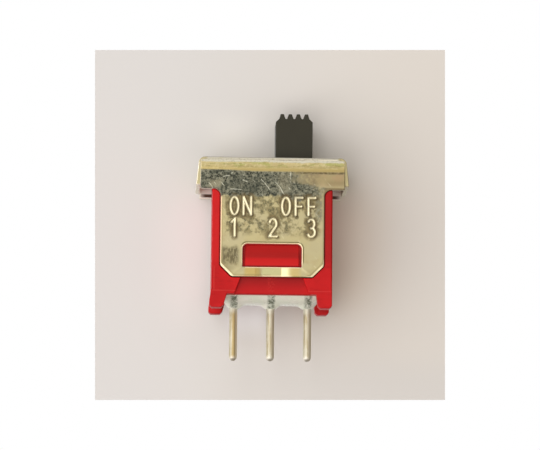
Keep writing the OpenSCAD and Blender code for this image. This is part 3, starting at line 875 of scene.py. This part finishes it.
# Painted light and shade on the card round the switch: low, high and softness in x, then in z, and
# the colour
CARD_LIGHT_AND_SHADE = (
    ((-6.9, -3.0, 2.2), (0.6, 9.0, 2.6), rgb(238, 234, 232)),
    ((-2.7, -0.1, 0.8), (-0.8, 1.8, 1.0), rgb(246, 245, 246)),
    ((3.0, 7.6, 2.2), (0.6, 9.0, 2.6), rgb(226, 217, 203)),
    ((-4.0, 4.2, 1.6), (10.6, 13.6, 1.2), rgb(235, 231, 226)),
)


def card_finish():
    """Matt and pale, with painted light and shade round the switch, and clear when it is seen from
    its back.
    """
    material = bpy.data.materials.new("stage_card")
    material.use_nodes = True
    tree = material.node_tree
    tree.nodes.clear()
    start = Value(tree)
    x, y, z = start.place_in_mm().parts()
    color = (x + 0.35 * y).step(-9.0, 12.0).mix(rgb(222, 219, 217), rgb(224, 218, 211))
    # painted shadow low down on the right
    low_right_shade = (1 - z.step(-4.8, -1.5)) * x.step(-5.5, -1.0)
    color = (low_right_shade * 0.8).mix(color, rgb(217, 213, 209))
    for along_x, along_z, tone in CARD_LIGHT_AND_SHADE:
        color = (x.band(*along_x) * z.band(*along_z)).mix(color, tone)
    matt = start.node("ShaderNodeBsdfDiffuse", {}, {"Color": color})
    clear = start.node("ShaderNodeBsdfTransparent", {}, {})
    rear = start.node("ShaderNodeNewGeometry", {}, {}, "Backfacing")
    seen = start.node("ShaderNodeMixShader", {}, {0: rear, 1: matt, 2: clear})
    out = tree.nodes.new("ShaderNodeOutputMaterial")
    tree.links.new(seen.socket, out.inputs["Surface"])
    return material


def stage_card():
    """A pale square card behind the switch, square to the camera."""
    turn, back = camera_turn()
    width = CARD_W * (DISTANCE + CARD_BEHIND) / DISTANCE
    bm = bmesh.new()
    bmesh.ops.create_grid(bm, x_segments=1, y_segments=1, size=width / 2)
    bm.transform(Matrix.Translation(TARGET - CARD_BEHIND * back) @ turn.to_4x4())
    bmesh.ops.scale(bm, vec=(MM,) * 3, verts=bm.verts)
    mesh = bpy.data.meshes.new("stage_card")
    bm.to_mesh(mesh)
    bm.free()
    mesh.materials.append(card_finish())
    card = bpy.data.objects.new("stage_card", mesh)
    bpy.context.scene.collection.objects.link(card)
    card.visible_shadow = card.visible_diffuse = card.visible_glossy = False
    card.visible_transmission = False


def soft_lamp(name, towards, distance, size, watts, color):
    """A square lamp that shines at TARGET from the direction it is given."""
    data = bpy.data.lights.new(name, "AREA")
    data.size, data.energy, data.color = size * MM, watts, color
    lamp = bpy.data.objects.new(name, data)
    bpy.context.scene.collection.objects.link(lamp)
    away = Vector(towards).normalized()
    lamp.matrix_world = (Matrix.Translation((TARGET + away * distance) * MM)
                         @ away.to_track_quat("Z", "Y").to_matrix().to_4x4())


def pale_room():
    """The world: what the camera and bright surfaces see, and a plain soft light for the rest."""
    world = bpy.data.worlds.new("pale_room")
    world.use_nodes = True
    tree = world.node_tree
    start = Value(tree)
    right, behind, above = start.node("ShaderNodeTexCoord", {}, {}, "Generated").parts()
    room = right.step(-0.9, 0.9).mix((0.95, 0.94, 0.92, 1), (0.43, 0.40, 0.35, 1))
    window = (-right).step(0.25, 0.5) * behind.step(-0.2, 0.2)
    room = window.mix(room, (1.7, 1.68, 1.6, 1))
    room = (-above).step(0.2, 0.9).mix(room, (0.3, 0.27, 0.24, 1))
    room = behind.step(0.75, 0.95).either(above.step(0.5, 0.9)).mix(room, (1, 1, 1, 1))
    soft = above.step(-0.5, 0.3).mix((0.34, 0.31, 0.28, 1), (0.15, 0.135, 0.12, 1))
    rays = ("Is Camera Ray", "Is Glossy Ray", "Is Transmission Ray")
    seen = any_of(start.node("ShaderNodeLightPath", {}, {}, ray) for ray in rays)
    tree.links.new(seen.mix(soft, room).socket, tree.nodes["Background"].inputs["Color"])
    bpy.context.scene.world = world


model_bracket()
model_housing()
model_spring()
model_slider()
model_seal()
finish_packed_solids()

place_camera()
stage_card()
soft_lamp("key_lamp", towards=(-0.78, -0.85, -0.08), distance=260, size=400, watts=0.81,
          color=(1.0, 0.995, 0.99))
soft_lamp("fill_lamp", towards=(0.12, -1.0, -0.12), distance=240, size=240, watts=0.21,
          color=(1.0, 0.98, 0.95))
pale_room()
bpy.context.scene.view_settings.view_transform = "Standard"
